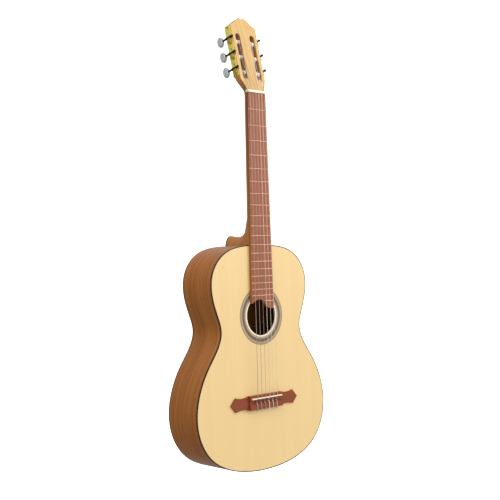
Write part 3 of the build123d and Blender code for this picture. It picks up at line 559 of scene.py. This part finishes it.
def wire(name, body, radius, look, stretches):
    """A round wire riding on a body.

    Each stretch is (smooth, points). It runs straight from point to point, or smoothly near them.
    """
    curve = bpy.data.curves.new(name + "_path", "CURVE")
    curve.dimensions = "3D"
    curve.bevel_depth = radius
    curve.bevel_resolution = 3
    curve.use_fill_caps = True
    curve.materials.append(look)
    for smooth, points in stretches:
        spline = curve.splines.new("NURBS" if smooth else "POLY")
        spline.points.add(len(points) - 1)
        for target, point in zip(spline.points, points):
            target.co = (*point, 1.0)
        if smooth:
            spline.order_u = 4
            spline.use_endpoint_u = True
            spline.resolution_u = 6
    drawn = bpy.data.objects.new(name + "_drawn", curve)
    scene.collection.objects.link(drawn)
    depsgraph = bpy.context.evaluated_depsgraph_get()
    mesh = bpy.data.meshes.new_from_object(drawn.evaluated_get(depsgraph))
    bpy.data.objects.remove(drawn)
    thing = bpy.data.objects.new(name, mesh)
    scene.collection.objects.link(thing)
    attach(thing, body)
    return thing


def add_string(index):
    """One string: its knot, its straight runs, and its turns round the roller."""
    number = index + 1
    radius = STRING_RADIUS[index]
    look, slot = (nylon, "plain_string") if number <= 3 else (wound, "wound_string")
    side = 1 if number <= 3 else -1
    place = 2.5 - index
    x_saddle = place * SADDLE_STEP
    top = bridge_low.y - radius
    knot = [
        Vector((x_saddle + across * MM, top - out * MM, bridge_low.z + up * MM)) for across, out, up in KNOT
    ]

    axis = Vector(JOINTS[f"barrel_{number}_turn"]["pos_m"])
    axis.x = ROLLER_X[index]
    reach = ROLLER_RADIUS + COIL_GAP + radius
    from_nut = Vector((place * NUT_STEP, nut_low.y + NUT_NOTCH, nut_high.z))
    flat = Vector((0, from_nut.y - axis.y, from_nut.z - axis.z))
    lean = math.acos(reach / flat.length)
    toward = math.atan2(flat.z, flat.y)
    start = toward - lean
    lane = 2 * radius * LANE_SPREAD

    def on_roller(turns, shift):
        angle = start - turns * 2 * math.pi
        return Vector(
            (axis.x - side * shift, axis.y + reach * math.cos(angle), axis.z + reach * math.sin(angle))
        )

    first_turn = [on_roller(step / TURN_STEPS, lane * step / TURN_STEPS) for step in range(TURN_STEPS - 1)]
    saddle_point = Vector((x_saddle, saddle_low.y - radius * 0.6, (saddle_low.z + saddle_high.z) / 2))
    nut_point = Vector((place * NUT_STEP, nut_low.y + NUT_NOTCH, nut_low.z))
    straight = [knot[0], saddle_point, nut_point, from_nut, *first_turn]
    run = wire(f"string_{number}_run", "guitar", radius, look, [(True, knot), (False, straight)])
    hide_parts(f"string_{number}")

    steps = COIL_TURNS * TURN_STEPS
    turns = [on_roller(1 + step / TURN_STEPS, lane * (1 + step / TURN_STEPS)) for step in range(steps + 1)]
    last = turns[-1]
    inward = Vector((axis.x - side * lane * (1 + COIL_TURNS), axis.y, axis.z)) - last
    through = last + inward * 2 + inward.normalized() * TAIL_LENGTH
    wound_on = [*turns, last + inward * 0.4, through]
    wire(f"string_{number}_coil", f"barrel_{number}", radius, look, [(False, wound_on)])


for string_index in range(6):
    add_string(string_index)

# ---------------------------------------------------------------- tuner plates

PLATE_CELL = 0.45 * MM
PLATE_THICK = 1.2 * MM
PLATE_CORNER = 2.0 * MM
PLATE_BEVEL = 0.25 * MM
GROOVE = 0.22 * MM
STEM_WAVE = 17.5 * MM
CURL_RADIUS = 2.3 * MM
SPIGOT_HOLE = 2.3 * MM


def pressed(along, height, length, depth):
    """How deep the plate's ornament is pressed at a place, from 0 to 1."""
    edge = min(along, length - along, height, depth - height)
    rim = 1.0 if 0.9 * MM < edge < 1.5 * MM else 0.0
    if edge < 2.0 * MM:
        return rim
    middle = depth / 2
    stem = middle + 0.22 * depth * math.sin(2 * math.pi * along / STEM_WAVE)
    if abs(height - stem) < 0.4 * MM:
        return 1.0
    crest = STEM_WAVE * (math.floor(along / (STEM_WAVE / 2)) + 0.5) / 2
    flip = 1 if math.floor(along / (STEM_WAVE / 2)) % 2 == 0 else -1
    away = math.hypot(along - crest, height - (middle - flip * 0.16 * depth))
    if abs(away - CURL_RADIUS) < 0.35 * MM or away < 0.6 * MM:
        return 1.0
    return 0.0


def tuner_plate(name, side):
    """A brass plate with a pressed border and a running scroll, in place of a plain CAD plate."""
    low_s, high_s = span(name, HEAD_UP)
    low_t, high_t = span(name, HEAD_BACK)
    outer = max(abs(corner.x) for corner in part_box(name))
    length, depth = high_s - low_s, high_t - low_t
    rollers = [Vector(joint["pos_m"]) for key, joint in JOINTS.items() if key.startswith("barrel")]
    spigots = [(HEAD_UP.dot(at), HEAD_BACK.dot(at)) for at in rollers if at.x * side > 0]
    columns, rows = round(length / PLATE_CELL), round(depth / PLATE_CELL)
    mesh = bmesh.new()
    patina = mesh.verts.layers.float.new("pressed")
    grid = {}
    for column in range(columns + 1):
        for row in range(rows + 1):
            s, t = low_s + length * column / columns, low_t + depth * row / rows
            corner_s = max(low_s + PLATE_CORNER - s, s - high_s + PLATE_CORNER, 0)
            corner_t = max(low_t + PLATE_CORNER - t, t - high_t + PLATE_CORNER, 0)
            beyond = math.hypot(corner_s, corner_t)
            if corner_s and corner_t and beyond > PLATE_CORNER:
                pull = 1 - PLATE_CORNER / beyond
                s += corner_s * pull * (1 if s < (low_s + high_s) / 2 else -1)
                t += corner_t * pull * (1 if t < (low_t + high_t) / 2 else -1)
            amount = pressed(s - low_s, t - low_t, length, depth)
            on_edge = column in (0, columns) or row in (0, rows)
            x = side * (outer - GROOVE * amount - (PLATE_BEVEL if on_edge else 0))
            vertex = mesh.verts.new(ACROSS * x + HEAD_UP * s + HEAD_BACK * t)
            vertex[patina] = amount
            grid[column, row] = vertex
    for column in range(columns):
        for row in range(rows):
            s, t = low_s + length * (column + 0.5) / columns, low_t + depth * (row + 0.5) / rows
            if any(math.hypot(s - at[0], t - at[1]) < SPIGOT_HOLE for at in spigots):
                continue
            around = ((column, row), (column + 1, row), (column + 1, row + 1), (column, row + 1))
            corners = [grid[place] for place in around]
            mesh.faces.new(corners if side < 0 else corners[::-1])
    rim = [edge for edge in mesh.edges if len(edge.link_faces) == 1]
    made = bmesh.ops.extrude_edge_only(mesh, edges=rim)["geom"]
    for part in made:
        if isinstance(part, bmesh.types.BMVert):
            part.co.x = side * (outer - PLATE_THICK)
    bmesh.ops.recalc_face_normals(mesh, faces=mesh.faces)
    data = bpy.data.meshes.new(name + "_pressed")
    mesh.to_mesh(data)
    mesh.free()
    data.materials.append(pressed_brass)
    thing = bpy.data.objects.new(name + "_pressed", data)
    scene.collection.objects.link(thing)
    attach(thing, "guitar")
    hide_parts(name)


tuner_plate("tuner_plate_bass", -1)
tuner_plate("tuner_plate_treble", 1)

# ---------------------------------------------------------------- floor and backdrop

FLOOR_Z = -0.35
FLOOR_START = 0.0005
FLOOR_RADIUS = 8.0
STUDIO_SIDES = 96
DOME_RINGS = 12


def studio_piece(name, rings):
    """A surface turned round the z axis from (radius, height) rings, seen by the camera only."""
    mesh = bpy.data.meshes.new(name)
    verts, faces = [], []
    for radius, height in rings:
        for step in range(STUDIO_SIDES):
            angle = 2 * math.pi * step / STUDIO_SIDES
            verts.append((radius * math.cos(angle), radius * math.sin(angle), height))
    for ring in range(len(rings) - 1):
        for step in range(STUDIO_SIDES):
            beside = (step + 1) % STUDIO_SIDES
            low_a, low_b = ring * STUDIO_SIDES + step, ring * STUDIO_SIDES + beside
            faces.append((low_a, low_b, low_b + STUDIO_SIDES, low_a + STUDIO_SIDES))
    mesh.from_pydata(verts, [], faces)
    mesh.shade_smooth()
    thing = bpy.data.objects.new(name, mesh)
    scene.collection.objects.link(thing)
    thing.visible_diffuse = False
    thing.visible_glossy = False
    thing.visible_transmission = False
    thing.visible_shadow = False
    paint = Shader(name + "_paint")
    tone = paint.ramp(paint.noise(paint.coords, 0.7, 2.0), [(0.3, (252, 252, 252)), (0.7, (255, 255, 255))])
    paint.finish(tone, 0.9, Emission_Color=tone, Emission_Strength=1.0)
    mesh.materials.append(paint.material)


studio_piece("floor", [(FLOOR_START, FLOOR_Z), (FLOOR_RADIUS, FLOOR_Z)])
dome = []
for step in range(DOME_RINGS + 1):
    rise = math.pi / 2 * step / DOME_RINGS
    dome.append((FLOOR_RADIUS * math.cos(rise), FLOOR_Z + FLOOR_RADIUS * math.sin(rise)))
studio_piece("backdrop", dome)
